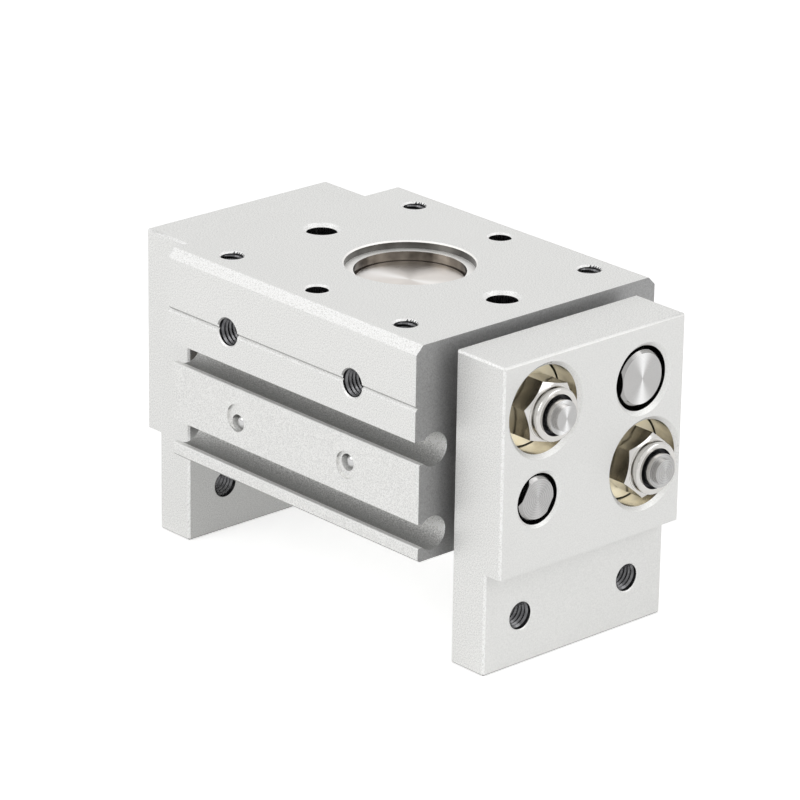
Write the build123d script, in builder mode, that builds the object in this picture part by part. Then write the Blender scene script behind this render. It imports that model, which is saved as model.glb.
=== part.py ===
from build123d import *
from math import atan, ceil, cos, pi, radians, sin, sqrt, tan
import os

# Wide opening pneumatic gripper, closed as it stands at rest, in millimetres.
# X is the way the two fingers travel, Y the width of the body, Z up.
# The origin is on the ground under the middle, where the finger ends stand.
# Two long rods cross the body for each finger: a round rack rod above and a piston rod below.
# The two rack rods run on opposite sides of one pinion, so the fingers open and close together.

# Body
body_length = 63.6
body_width = 55.0
body_height = 38.4
finger_reach = 18.8
top_edge_chamfer = 1.5
bottom_edge_chamfer = 0.4
side_step = 1.05

# Sensor grooves, a round tunnel behind a narrower mouth
groove_radius = 3.0
groove_inset = 4.2
groove_mouth = 4.3
upper_groove_drop = 18.9
lower_groove_height = 4.6

# Fine centre line along both sides
mark_line_depth = 0.5

# Travel and running room
stroke = 15.0
finger_gap = 2.5
stop_gap = 0.3
running_fit = 0.03
seat_fit = 0.02
side_play = 0.1

# Pinion and racks
gear_module = 0.75
pinion_teeth = 20
pressure_angle = 20.0
root_factor = 1.25
flank_relief = 0.05
pinion_width = 11.0
pinion_room = 0.65
shaft_diameter = 5.0
shaft_seat_depth = 7.5

# Rack rods
rack_rod_diameter = 10.0
rack_rod_drop = 10.9
rack_flat_depth = 0.45
rack_flat_run_on = 1.5

# Piston rods, pistons and cylinders
cylinder_bore = 16.0
cylinder_side_wall = 6.15
piston_rod_diameter = 8.0
rod_row_spacing = 15.5
piston_length = 12.0
piston_play = 0.1
cover_recess = 1.5
wrench_flat_width = 6.5
wrench_flat_length = 5.0
wrench_flat_angle = 30.0

# Pilot recess in the top face, and the pinion cap down in the well inside it
pilot_diameter = 22.8
pilot_depth = 1.4
well_diameter = 19.6
well_depth = 1.7

# Holes in the top face
corner_hole_from_end = 9.6
hole_row_from_side = 6.3
corner_drill = 3.3
corner_hole_chamfer = 0.65
corner_depth = 9.0
pin_hole_diameter = 4.0
pin_hole_depth = 6.0
through_hole_from_end = 8.8
through_hole_diameter = 5.5

# Air ports and passages in the front side
port_past_cover = 2.2
port_drill = 4.2
port_chamfer = 0.6
port_depth = 6.5
passage_diameter = 1.8
close_plug_x = -14.8
close_plug_height = 10.9
open_plug_x = 13.6
open_plug_height = 12.3
plug_spot_height = 11.9
plug_spot_diameter = 4.9
plug_spot_depth = 0.45
plug_diameter = 3.0
plug_length = 3.0
plug_sink = 0.7

# Fingers
finger_side_wall = 0.2
finger_thickness = 11.5
finger_top_drop = 1.3
jaw_recess = 3.45
jaw_step_drop = 0.35
jaw_hole_height = 8.8
jaw_hole_spacing = 25.0
jaw_hole_drill = 4.2
jaw_hole_chamfer = 0.55
finger_top_chamfer = 0.7
finger_edge_chamfer = 0.35
nut_pocket_depth = 6.7
nut_pocket_chamfer = 0.7
rack_rod_room = 0.75
rack_hole_chamfer = 0.7
piston_rod_room = 0.5
piston_hole_chamfer = 0.5
rod_tail_recess = 0.3
rod_tail_chamfer = 0.5

# Rod necks, nuts and washers
neck_diameter = 6.0
neck_hole_play = 0.2
nut_across_flats = 10.0
nut_hex_height = 6.2
nut_collar_height = 1.8
nut_collar_diameter = 8.9
washer_diameter = 15.0
washer_thickness = 1.6
washer_room = 0.2
tip_reach = 2.0
tip_chamfer = 1.2
nut_turns = {"right_rack": 49.0, "right_piston": 17.0, "left_rack": 33.0, "left_piston": 5.0}

# Places that follow from the sizes above
ground = 0.0
body_bottom = finger_reach
body_top = body_bottom + body_height
half_length = body_length / 2
half_width = body_width / 2
low_side = half_width - side_step
rack_z = body_top - rack_rod_drop
piston_z = rack_z - rod_row_spacing
upper_groove_z = body_top - upper_groove_drop
lower_groove_z = body_bottom + lower_groove_height

pitch_radius = gear_module * pinion_teeth / 2
base_radius = pitch_radius * cos(radians(pressure_angle))
tooth_pitch = pi * gear_module
tip_radius = pitch_radius + gear_module
root_depth = root_factor * gear_module
root_radius = pitch_radius - root_depth
rack_tip_line = pitch_radius - gear_module
rack_root_line = pitch_radius + root_depth
rack_rod_radius = rack_rod_diameter / 2
rack_rod_offset = rack_tip_line + rack_rod_radius - rack_flat_depth

bore_radius = cylinder_bore / 2
piston_rod_radius = piston_rod_diameter / 2
piston_rod_offset = low_side - cylinder_side_wall - bore_radius
piston_place = stroke / 2
cover_inner = piston_place + piston_length / 2 + stop_gap
cover_outer = half_length - cover_recess

corner_hole_x = half_length - corner_hole_from_end
through_hole_x = half_length - through_hole_from_end
hole_row_y = half_width - hole_row_from_side
port_x = cover_inner + port_past_cover
plug_places = ((close_plug_x, close_plug_height), (open_plug_x, open_plug_height))
pilot_radius = pilot_diameter / 2
well_radius = well_diameter / 2
cap_top = body_top - pilot_depth - well_depth
shaft_radius = shaft_diameter / 2
pinion_bottom = rack_z - pinion_width / 2
chamber_floor = pinion_bottom - side_play
cap_seat = rack_z + pinion_width / 2 + side_play
chamber_radius = tip_radius + pinion_room
shaft_bottom = chamber_floor - shaft_seat_depth

finger_inner = half_length + finger_gap
finger_outer = finger_inner + finger_thickness
finger_top = body_top - finger_top_drop
jaw_outer = finger_outer - jaw_recess
jaw_step = body_bottom - jaw_step_drop
nut_pocket_radius = washer_diameter / 2 + washer_room
widest_offset = max(rack_rod_offset, piston_rod_offset)
finger_width = 2 * (widest_offset + nut_pocket_radius + nut_pocket_chamfer + finger_side_wall)
pocket_floor = finger_outer - nut_pocket_depth
nut_seat = pocket_floor + washer_thickness
hex_end = nut_seat + nut_hex_height
collar_end = hex_end + nut_collar_height
rod_tip = collar_end + tip_reach
rod_tail = -(finger_outer - rod_tail_recess)
neck_radius = neck_diameter / 2

sides = {"right": 1, "left": -1}
os.makedirs("parts", exist_ok=True)


def finish(piece, name):
    piece.part.label = name
    export_step(piece.part, f"parts/{name}.step")


def facing(side, x, y, z):
    """A plane across a rod line, looking outward; side is 1 on the right and -1 on the left."""
    return Plane(origin=(side * x, y, z), x_dir=(0, side, 0), z_dir=(side, 0, 0))


def along(side, y, z):
    """A plane through a rod line: local x runs outward from the middle, local y is the radius."""
    return Plane(origin=(0, y, z), x_dir=(side, 0, 0), z_dir=(0, -side, 0))


def turned(side, y, z, outline):
    """A turned piece: its half outline, in x outward and radius, spun round the rod line."""
    with BuildPart() as piece:
        with BuildSketch(along(side, y, z)):
            with BuildLine():
                Polyline(*outline, close=True)
            make_face()
        revolve(axis=Axis((0, y, z), (side, 0, 0)))
    return piece


def ring(side, y, z, start, end, outer, inner):
    """A plain ring between two places on a rod line."""
    with BuildPart() as piece:
        with BuildSketch(facing(side, start, y, z)):
            Circle(outer)
            Circle(inner, mode=Mode.SUBTRACT)
        extrude(amount=end - start)
    return piece


# Body block: one length of extrusion, then bored, drilled and tapped
def body_profile():
    """Half of the extrusion's section, then its mirror image."""
    mark_side = mark_line_depth * sqrt(2)
    with BuildSketch() as profile:
        with BuildLine():
            Polyline(
                (0, body_bottom),
                (low_side - bottom_edge_chamfer, body_bottom),
                (low_side, body_bottom + bottom_edge_chamfer),
                (low_side, upper_groove_z),
                (half_width, upper_groove_z),
                (half_width, body_top - top_edge_chamfer),
                (half_width - top_edge_chamfer, body_top),
                (0, body_top),
                close=True,
            )
        make_face()
        with Locations(
            (half_width - groove_inset, upper_groove_z), (half_width - groove_inset, lower_groove_z)
        ):
            Circle(groove_radius, mode=Mode.SUBTRACT)
            Rectangle(2 * groove_inset, groove_mouth, align=(Align.MIN, Align.CENTER), mode=Mode.SUBTRACT)
        with Locations((half_width, rack_z)):
            Rectangle(mark_side, mark_side, rotation=45, mode=Mode.SUBTRACT)
        mirror(about=Plane.YZ)
    return profile


def tapped_hole(drill, rim, depth):
    """A tap drill's hole with a small chamfer round its mouth; the thread isn't cut."""
    CounterSinkHole(drill / 2, drill / 2 + rim, depth, 90)


def body_block():
    front = Plane(origin=(0, -half_width, 0), x_dir=(1, 0, 0), z_dir=(0, -1, 0))
    low_front = Plane(origin=(0, -low_side, 0), x_dir=(1, 0, 0), z_dir=(0, -1, 0))
    with BuildPart() as block:
        with BuildSketch(Plane.YZ.offset(-half_length)):
            add(body_profile().sketch)
        extrude(amount=body_length)

        # Rack rod bores, right through from end to end
        with BuildSketch(Plane.YZ.offset(-half_length)):
            with Locations((-rack_rod_offset, rack_z), (rack_rod_offset, rack_z)):
                Circle(rack_rod_radius + running_fit)
        extrude(amount=body_length, mode=Mode.SUBTRACT)

        # Each cylinder is bored from its own finger's end, with a rod bore in its closed end
        for side in sides.values():
            with Locations(facing(side, half_length, side * piston_rod_offset, piston_z)):
                Hole(bore_radius, depth=half_length + cover_inner)
                Hole(piston_rod_radius + running_fit, depth=body_length)

        # Pilot recess, cap well, pinion chamber and the shaft's hole, all on one vertical axis
        with Locations((0, 0, body_top)):
            Hole(pilot_radius, depth=pilot_depth)
            Hole(well_radius, depth=body_top - cap_seat)
            Hole(chamber_radius, depth=body_top - chamber_floor)
            Hole(shaft_radius + seat_fit, depth=body_top - shaft_bottom)

        # Mounting holes in the top face; the two on the middle line go right through
        with Locations(Plane.XY.offset(body_top)):
            with GridLocations(2 * corner_hole_x, 2 * hole_row_y, 2, 2):
                tapped_hole(corner_drill, corner_hole_chamfer, corner_depth)
            with GridLocations(0, 2 * hole_row_y, 1, 2):
                Hole(pin_hole_diameter / 2, depth=pin_hole_depth)
            with GridLocations(2 * through_hole_x, 0, 2, 1):
                Hole(through_hole_diameter / 2, depth=body_height)

        # Air ports in the front side, each with a slanted drilling down to the near cylinder
        with Locations(front):
            with Locations((-port_x, rack_z), (port_x, rack_z)):
                tapped_hole(port_drill, port_chamfer, port_depth)
        for side in sides.values():
            port_end = Vector(side * port_x, port_depth - half_width, rack_z)
            air_space = Vector(side * cover_inner, -piston_rod_offset, piston_z + piston_rod_radius)
            slant = air_space - port_end
            with BuildSketch(Plane(origin=port_end, x_dir=(1, 0, 0), z_dir=slant)):
                Circle(passage_diameter / 2)
            extrude(amount=slant.length, mode=Mode.SUBTRACT)

        # Ball plugs' places: a shallow spot face and a seat that the ball is pressed into
        with Locations(low_front):
            for plug_x, plug_height in plug_places:
                with Locations((plug_x, body_bottom + plug_spot_height)):
                    Hole(plug_spot_diameter / 2, depth=plug_spot_depth)
                with Locations((plug_x, body_bottom + plug_height)):
                    Hole(plug_diameter / 2 + seat_fit, depth=plug_sink + plug_length)
    return block


def passage_plugs():
    """Steel plugs pressed into the drillings' mouths."""
    with BuildPart() as plugs:
        with BuildSketch(Plane.XZ.offset(low_side - plug_sink)):
            for plug_x, plug_height in plug_places:
                with Locations((plug_x, body_bottom + plug_height)):
                    Circle(plug_diameter / 2)
        extrude(amount=-plug_length)
    return plugs


# Pinion cap: a turned steel disc pressed down into the well
def pinion_cap():
    with BuildPart() as cap:
        with BuildSketch(Plane.XY.offset(cap_seat)):
            Circle(well_radius - seat_fit)
        extrude(amount=cap_top - cap_seat)
    return cap


# Pinion and its fixed shaft
def involute_roll(radius):
    """How far round the base circle an involute has turned where it reaches a radius."""
    lean = sqrt((radius / base_radius) ** 2 - 1)
    return lean - atan(lean)


def gear_tooth():
    """One involute tooth along local x, a little thinner than half the pitch."""
    half_angle = (tooth_pitch / 4 - flank_relief) / pitch_radius + involute_roll(pitch_radius)
    foot_radius = root_radius - gear_module / 2
    flank = []
    for radius in (base_radius, pitch_radius, tip_radius):
        angle = half_angle - involute_roll(radius)
        flank.append((radius * cos(angle), radius * sin(angle)))
    other_flank = [(x, -y) for x, y in flank]
    foot = (foot_radius * cos(half_angle), foot_radius * sin(half_angle))
    other_foot = (foot[0], -foot[1])
    with BuildSketch() as tooth:
        with BuildLine():
            Line(foot, flank[0])
            ThreePointArc(*flank)
            Line(flank[-1], other_flank[-1])
            ThreePointArc(*other_flank)
            Polyline(other_flank[0], other_foot, foot)
        make_face()
    return tooth


def pinion_gear():
    tooth = gear_tooth()
    with BuildPart() as gear:
        with BuildSketch(Plane.XY.offset(pinion_bottom)):
            Circle(root_radius)
            with PolarLocations(0, pinion_teeth):
                add(tooth.sketch)
            Circle(shaft_radius + running_fit, mode=Mode.SUBTRACT)
        extrude(amount=pinion_width)
    return gear


def pinion_shaft():
    with BuildPart() as shaft:
        with BuildSketch(Plane.XY.offset(shaft_bottom)):
            Circle(shaft_radius)
        extrude(amount=cap_seat - shaft_bottom)
    return shaft


# Rack rods: round bars with a flat and rack teeth cut towards the pinion
def finger_rod(side, y, z, radius):
    """The turned blank shared by both rods: tail end, shoulder on the finger, neck and tip."""
    return turned(side, y, z, [
        (rod_tail, 0),
        (rod_tail, radius - rod_tail_chamfer),
        (rod_tail + rod_tail_chamfer, radius),
        (finger_inner, radius),
        (finger_inner, neck_radius),
        (rod_tip - tip_chamfer, neck_radius),
        (rod_tip, neck_radius - tip_chamfer),
        (rod_tip, 0),
    ])


def rack_rod(side):
    """The teeth reach just past the pinion's mesh at both ends of the travel."""
    blank = finger_rod(side, -side * rack_rod_offset, rack_z, rack_rod_radius)
    mesh_reach = sqrt(tip_radius ** 2 - rack_tip_line ** 2)
    lean = tan(radians(pressure_angle))
    mouth = tooth_pitch / 4 + flank_relief + gear_module * lean
    root = tooth_pitch / 4 + flank_relief - root_depth * lean
    first = -ceil((stroke + mesh_reach - mouth) / tooth_pitch)
    last = ceil((mesh_reach - mouth) / tooth_pitch)
    flat_end = (last + rack_flat_run_on) * tooth_pitch
    with BuildPart() as rod:
        add(blank.part)
        with BuildSketch(Plane(origin=(0, 0, rack_z), x_dir=(side, 0, 0), z_dir=(0, 0, 1))):
            with Locations((flat_end, -rack_tip_line)):
                Rectangle(flat_end - rod_tail, rack_rod_radius, align=(Align.MAX, Align.MIN))
            for gap in range(first, last + 1):
                middle = gap * tooth_pitch
                with BuildLine():
                    Polyline(
                        (middle - mouth, -rack_tip_line),
                        (middle - root, -rack_root_line),
                        (middle + root, -rack_root_line),
                        (middle + mouth, -rack_tip_line),
                        close=True,
                    )
                make_face()
        extrude(amount=rack_rod_diameter, both=True, mode=Mode.SUBTRACT)
    return rod


# Piston rods with their pistons, which slide in the body's two cylinders
def piston_rod(side):
    """The tail has two wrench flats: all but a strip across the rod is cut away there."""
    y = side * piston_rod_offset
    blank = finger_rod(side, y, piston_z, piston_rod_radius)
    with BuildPart() as rod:
        add(blank.part)
        with BuildSketch(facing(side, rod_tail, y, piston_z)):
            Circle(piston_rod_diameter)
            Rectangle(
                wrench_flat_width, 3 * piston_rod_diameter, rotation=wrench_flat_angle, mode=Mode.SUBTRACT
            )
        extrude(amount=wrench_flat_length, mode=Mode.SUBTRACT)
    return rod


def piston(side):
    start = -piston_place - piston_length / 2
    return ring(
        side, side * piston_rod_offset, piston_z, start, start + piston_length,
        bore_radius - piston_play, piston_rod_radius + seat_fit,
    )


# Fingers: stepped plates with a pocket for each of their own nuts
def finger_plate(side):
    """It holds its own two rods by their necks, and the other finger's two pass through it."""
    rack_hole = rack_rod_radius + rack_rod_room
    piston_hole = piston_rod_radius + piston_rod_room
    across = Plane(origin=(0, 0, 0), x_dir=(side, 0, 0), z_dir=(0, -side, 0))
    rack_y = -side * rack_rod_offset
    piston_y = side * piston_rod_offset
    with BuildPart() as plate:
        with BuildSketch(across):
            with BuildLine():
                Polyline(
                    (finger_inner, ground),
                    (jaw_outer, ground),
                    (jaw_outer, jaw_step),
                    (finger_outer, jaw_step),
                    (finger_outer, finger_top),
                    (finger_inner, finger_top),
                    close=True,
                )
            make_face()
        extrude(amount=finger_width / 2, both=True)
        chamfer(plate.faces().sort_by(Axis.Z)[-1].edges(), finger_top_chamfer)
        lower_edges = plate.faces().sort_by(Axis.Z)[0].edges()
        chamfer(plate.edges().filter_by(Axis.Z) + lower_edges, finger_edge_chamfer)
        own_rods = ((rack_y, rack_z), (piston_y, piston_z))
        with Locations(*[facing(side, finger_outer, y, z) for y, z in own_rods]):
            CounterSinkHole(nut_pocket_radius, nut_pocket_radius + nut_pocket_chamfer, nut_pocket_depth, 90)
            Hole(neck_radius + neck_hole_play, depth=finger_thickness)
        with Locations(facing(side, finger_outer, -rack_y, rack_z)):
            CounterSinkHole(rack_hole, rack_hole + rack_hole_chamfer, finger_thickness, 90)
        with Locations(facing(side, finger_outer, -piston_y, piston_z)):
            CounterSinkHole(piston_hole, piston_hole + piston_hole_chamfer, finger_thickness, 90)
        with Locations(facing(side, jaw_outer, 0, jaw_hole_height)):
            with GridLocations(jaw_hole_spacing, 0, 2, 1):
                tapped_hole(jaw_hole_drill, jaw_hole_chamfer, jaw_outer - finger_inner)
    return plate


# Self-locking nuts: a hexagon with a round collar that grips the rod's thread
def lock_nut(side, y, z, turn):
    with BuildPart() as nut:
        with BuildSketch(facing(side, nut_seat, y, z)):
            RegularPolygon(nut_across_flats / 2, 6, major_radius=False, rotation=turn)
        extrude(amount=nut_hex_height)
        with BuildSketch(facing(side, hex_end, y, z)):
            Circle(nut_collar_diameter / 2)
        extrude(amount=nut_collar_height)
        with Locations(facing(side, collar_end, y, z)):
            Hole(neck_radius + seat_fit, depth=collar_end - nut_seat)
    return nut


# Pieces that stay with the body
finish(body_block(), "body_block")
finish(passage_plugs(), "passage_plugs")
finish(pinion_cap(), "pinion_cap")
finish(pinion_shaft(), "pinion_shaft")
for side_name, side in sides.items():
    cover = ring(
        side, side * piston_rod_offset, piston_z, cover_inner, cover_outer,
        bore_radius - seat_fit, piston_rod_radius + running_fit,
    )
    finish(cover, f"{side_name}_cylinder_cover")

# The pinion turns on its shaft
finish(pinion_gear(), "pinion_gear")

# The two fingers, each with its rods, piston, nuts and washers
for side_name, side in sides.items():
    rack_y = -side * rack_rod_offset
    piston_y = side * piston_rod_offset
    finish(finger_plate(side), f"{side_name}_finger_plate")
    finish(rack_rod(side), f"{side_name}_rack_rod")
    finish(piston_rod(side), f"{side_name}_piston_rod")
    finish(piston(side), f"{side_name}_piston")
    for line_name, y, z in (("rack", rack_y, rack_z), ("piston", piston_y, piston_z)):
        washer = ring(side, y, z, pocket_floor, nut_seat, washer_diameter / 2, neck_radius + neck_hole_play)
        finish(washer, f"{side_name}_{line_name}_washer")
        nut = lock_nut(side, y, z, nut_turns[f"{side_name}_{line_name}"])
        finish(nut, f"{side_name}_{line_name}_nut")
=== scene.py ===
from math import cos, hypot, pi, radians, sin, tan

import bmesh
import bpy
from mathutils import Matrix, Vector


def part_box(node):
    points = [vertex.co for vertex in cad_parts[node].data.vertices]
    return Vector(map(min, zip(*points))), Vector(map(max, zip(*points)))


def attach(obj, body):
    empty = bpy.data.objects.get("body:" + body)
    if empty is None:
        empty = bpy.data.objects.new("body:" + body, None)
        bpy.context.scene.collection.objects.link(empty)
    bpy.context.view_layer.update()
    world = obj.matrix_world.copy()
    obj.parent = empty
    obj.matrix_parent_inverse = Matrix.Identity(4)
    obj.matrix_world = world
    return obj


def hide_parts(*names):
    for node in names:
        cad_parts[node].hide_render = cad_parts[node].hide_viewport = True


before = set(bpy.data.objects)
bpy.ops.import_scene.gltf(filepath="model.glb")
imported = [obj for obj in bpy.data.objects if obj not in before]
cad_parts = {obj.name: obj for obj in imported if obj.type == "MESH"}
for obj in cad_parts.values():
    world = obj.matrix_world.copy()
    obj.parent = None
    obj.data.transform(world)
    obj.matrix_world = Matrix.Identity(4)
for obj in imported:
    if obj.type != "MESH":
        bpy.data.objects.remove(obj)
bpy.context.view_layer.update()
mm = 0.001

# Body block. A length of aluminium extrusion, cut off, bored and tapped, then blasted with
# fine glass beads and clear anodised, so it is pale and slightly grainy. The skin is the packed
# body with full-depth threads, and with broken rims on its plain holes, recess and groove lips.
BLASTED = (0.87, 0.87, 0.853, 1.0)
BEAD_SIZE = 0.22 * mm
# These are in millimetres. A place is x and y in the top face, and x or y and height elsewhere.
BODY_TOP = 57.2
BODY_FRONT = 27.5
HALF_BAR = 33
M5_ROOT = 2.45
M4_ROOT = 1.97
PORT_PLACE = (16.0, 46.3)
PORT_DEPTH = 6.3
CORNER_PLACE = (22.2, 21.2)
CORNER_DEPTH = 8.8
PIN_PLACE = (0.0, 21.2)
PIN_RADIUS = 2.0
PIN_RIM = 2.35
THROUGH_PLACE = (23.0, 0.0)
THROUGH_RADIUS = 2.75
THROUGH_RIM = 3.4
PILOT_RADIUS = 11.4
PILOT_BREAK = 0.25
RACK_PLACE = (11.3, 46.3)
PISTON_PLACE = (12.3, 30.8)
GROOVE_Y = 23.3
GROOVE_HEIGHTS = (38.3, 23.4)
HALF_MOUTH = 2.15
LIP_BREAK = 0.18
LOW_SIDE = 26.45


def new_group(name, inputs, outputs):
    """A shader group with its sockets; each input is a name, a kind and a first value."""
    group = bpy.data.node_groups.new(name, "ShaderNodeTree")
    for label, kind, value in inputs:
        socket = group.interface.new_socket(name=label, in_out="INPUT", socket_type=kind)
        socket.default_value = value
    for label, kind in outputs:
        group.interface.new_socket(name=label, in_out="OUTPUT", socket_type=kind)
    return group, group.nodes.new("NodeGroupInput"), group.nodes.new("NodeGroupOutput")


def math_node(tree, operation, first, second=None, third=None):
    """A Math node; each entry is a socket to link or a number to set."""
    node = tree.nodes.new("ShaderNodeMath")
    node.operation = operation
    for place, value in enumerate((first, second, third)):
        if isinstance(value, bpy.types.NodeSocket):
            tree.links.new(value, node.inputs[place])
        elif value is not None:
            node.inputs[place].default_value = value
    return node.outputs[0]


def vector_node(tree, operation, first, second=None):
    """A Vector Math node between two sockets."""
    node = tree.nodes.new("ShaderNodeVectorMath")
    node.operation = operation
    tree.links.new(first, node.inputs[0])
    if second:
        tree.links.new(second, node.inputs[1])
    return node


def grey_of(tree, shade):
    """A grey as light as one value."""
    node = tree.nodes.new("ShaderNodeCombineColor")
    for channel in range(3):
        tree.links.new(shade, node.inputs[channel])
    return node.outputs[0]


def mix_colour(tree, share, first, second, blend_type="MIX"):
    """A colour Mix node; share and both colours may be sockets or plain values."""
    node = tree.nodes.new("ShaderNodeMix")
    node.data_type = "RGBA"
    node.blend_type = blend_type
    for socket, value in ((node.inputs[0], share), (node.inputs[6], first), (node.inputs[7], second)):
        if isinstance(value, bpy.types.NodeSocket):
            tree.links.new(value, socket)
        else:
            socket.default_value = value
    return node.outputs[2]


def noise(tree, position, size, detail=2.0):
    """Noise whose blotches are about that size, in metres."""
    node = tree.nodes.new("ShaderNodeTexNoise")
    node.inputs["Scale"].default_value = 1.0 / size
    node.inputs["Detail"].default_value = detail
    tree.links.new(position, node.inputs["Vector"])
    return node.outputs["Fac"]


def place_on_object(tree):
    """Where a point lies in the frame, in metres."""
    return tree.nodes.new("ShaderNodeTexCoord").outputs["Object"]


def make_blasted_skin():
    """The blasted skin: a sparkle as fine as the beads over faint wide clouds."""
    group, given, result = new_group(
        "Blasted Skin",
        [
            ("Position", "NodeSocketVector", (0, 0, 0)),
            ("Colour", "NodeSocketColor", BLASTED),
            ("Sparkle", "NodeSocketFloat", 0.8),
        ],
        [
            ("Colour", "NodeSocketColor"),
            ("Roughness", "NodeSocketFloat"),
            ("Height", "NodeSocketFloat"),
        ],
    )
    place = given.outputs["Position"]
    beads = noise(group, place, BEAD_SIZE, 1.0)
    clouds = noise(group, place, 60 * BEAD_SIZE, 3.0)
    centred = math_node(group, "SUBTRACT", beads, 0.5)
    sparkle = math_node(group, "MULTIPLY", centred, given.outputs["Sparkle"])
    drift = math_node(group, "MULTIPLY", math_node(group, "SUBTRACT", clouds, 0.5), 0.03)
    shade = math_node(group, "ADD", math_node(group, "ADD", sparkle, drift), 1.0)
    colour = mix_colour(group, 1.0, given.outputs["Colour"], grey_of(group, shade), "MULTIPLY")
    rough = math_node(group, "MULTIPLY_ADD", beads, 0.12, 0.40)
    group.links.new(colour, result.inputs["Colour"])
    group.links.new(rough, result.inputs["Roughness"])
    group.links.new(beads, result.inputs["Height"])
    return group


def make_turned_finish():
    """The fine rings that a lathe leaves round an axis, and a mask for two opposite fans of painted
    highlight.
    """
    group, given, result = new_group(
        "Turned Finish",
        [
            ("Position", "NodeSocketVector", (0, 0, 0)),
            ("Axis Place", "NodeSocketVector", (0, 0, 0)),
            ("Across", "NodeSocketVector", (1, 1, 0)),
            ("Ring Pitch", "NodeSocketFloat", 0.0002),
            ("Fan Direction", "NodeSocketVector", (0, 0, 1)),
        ],
        [
            ("Rings", "NodeSocketFloat"),
            ("Fans", "NodeSocketFloat"),
            ("Distance", "NodeSocketFloat"),
        ],
    )
    place = given.outputs["Position"]
    offset = vector_node(group, "SUBTRACT", place, given.outputs["Axis Place"])
    flat = vector_node(group, "MULTIPLY", offset.outputs[0], given.outputs["Across"]).outputs[0]
    distance = vector_node(group, "LENGTH", flat).outputs["Value"]
    turns = math_node(group, "DIVIDE", distance, given.outputs["Ring Pitch"])
    wobble = math_node(group, "MULTIPLY", noise(group, place, 2 * mm, 2.0), 0.3)
    phase = math_node(group, "MULTIPLY", math_node(group, "ADD", turns, wobble), 2 * pi)
    rings = math_node(group, "MULTIPLY_ADD", math_node(group, "SINE", phase), 0.5, 0.5)
    # The fans mark where a painted highlight goes.
    ray = vector_node(group, "NORMALIZE", flat).outputs[0]
    along = vector_node(group, "DOT_PRODUCT", ray, given.outputs["Fan Direction"]).outputs["Value"]
    fans = math_node(group, "POWER", math_node(group, "ABSOLUTE", along), 14.0)
    group.links.new(rings, result.inputs["Rings"])
    group.links.new(fans, result.inputs["Fans"])
    group.links.new(distance, result.inputs["Distance"])
    return group


blasted_skin = make_blasted_skin()
turned_finish = make_turned_finish()


def new_material(name, colour, metallic, roughness):
    """A material with a Principled shader; returns it with its tree and its shader."""
    material = bpy.data.materials.new(name)
    material.use_nodes = True
    tree = material.node_tree
    shader = tree.nodes["Principled BSDF"]
    shader.inputs["Base Color"].default_value = colour
    shader.inputs["Metallic"].default_value = metallic
    shader.inputs["Roughness"].default_value = roughness
    return material, tree, shader


def placed_group(tree, group, **values):
    """A group node in a material; an underscore in a value's name stands for a space."""
    node = tree.nodes.new("ShaderNodeGroup")
    node.node_tree = group
    for label, value in values.items():
        socket = node.inputs[label.replace("_", " ")]
        if isinstance(value, bpy.types.NodeSocket):
            tree.links.new(value, socket)
        else:
            socket.default_value = value
    return node


def add_bump(tree, shader, height, strength, distance):
    """A Bump node between a height and the shader's normal."""
    bump = tree.nodes.new("ShaderNodeBump")
    bump.inputs["Strength"].default_value = strength
    bump.inputs["Distance"].default_value = distance
    tree.links.new(height, bump.inputs["Height"])
    tree.links.new(bump.outputs["Normal"], shader.inputs["Normal"])


BLASTED_ROUGHNESS = 0.46
BLASTED_RELIEF = 0.03 * mm


def make_blasted(name, colour, sparkle=0.8, metallic=0.5):
    """Blasted and anodised aluminium, paler or darker by how well the blast reached it."""
    material, tree, shader = new_material(name, colour, metallic, BLASTED_ROUGHNESS)
    spot = place_on_object(tree)
    skin = placed_group(tree, blasted_skin, Position=spot, Colour=colour, Sparkle=sparkle)
    tree.links.new(skin.outputs["Colour"], shader.inputs["Base Color"])
    tree.links.new(skin.outputs["Roughness"], shader.inputs["Roughness"])
    add_bump(tree, shader, skin.outputs["Height"], 0.5, BLASTED_RELIEF)
    return material


def make_groove_wall():
    """The round wall of a sensor groove, with painted shade: light at its back, darker on its floor and
    roof.
    """
    material, tree, shader = new_material("groove_wall", BLASTED, 0.1, BLASTED_ROUGHNESS)
    spot = place_on_object(tree)
    skin = placed_group(tree, blasted_skin, Position=spot, Colour=BLASTED, Sparkle=1.5)
    facing = tree.nodes.new("ShaderNodeNewGeometry")
    parts = tree.nodes.new("ShaderNodeSeparateXYZ")
    tree.links.new(facing.outputs["Normal"], parts.inputs[0])
    upright = math_node(tree, "ABSOLUTE", parts.outputs["Z"])
    # Painted shade: the more the wall faces up or down, the darker its colour.
    shade = math_node(tree, "MULTIPLY_ADD", upright, -0.88, 1.27)
    colour = mix_colour(tree, 1.0, skin.outputs["Colour"], grey_of(tree, shade), "MULTIPLY")
    tree.links.new(colour, shader.inputs["Base Color"])
    tree.links.new(skin.outputs["Roughness"], shader.inputs["Roughness"])
    add_bump(tree, shader, skin.outputs["Height"], 0.8, BLASTED_RELIEF)
    return material


def make_turned(
    name, dark, pale, roughness, stain_size, ring_pitch=0.3 * mm, axis_place=(0, 0, 0), across=(1, 1, 0)
):
    """A turned or bored metal face: faint rings in its gloss, and stains from dark to pale."""
    material, tree, shader = new_material(name, pale, 1.0, roughness)
    spot = place_on_object(tree)
    turned = placed_group(
        tree, turned_finish, Position=spot, Axis_Place=axis_place, Across=across, Ring_Pitch=ring_pitch
    )
    stains = noise(tree, spot, stain_size, 2.0)
    spread = math_node(tree, "MULTIPLY_ADD", stains, 2.2, -0.6)
    spread.node.use_clamp = True
    tree.links.new(mix_colour(tree, spread, dark, pale), shader.inputs["Base Color"])
    rough = math_node(tree, "MULTIPLY_ADD", turned.outputs["Rings"], 0.06, roughness - 0.03)
    tree.links.new(rough, shader.inputs["Roughness"])
    return material


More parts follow.
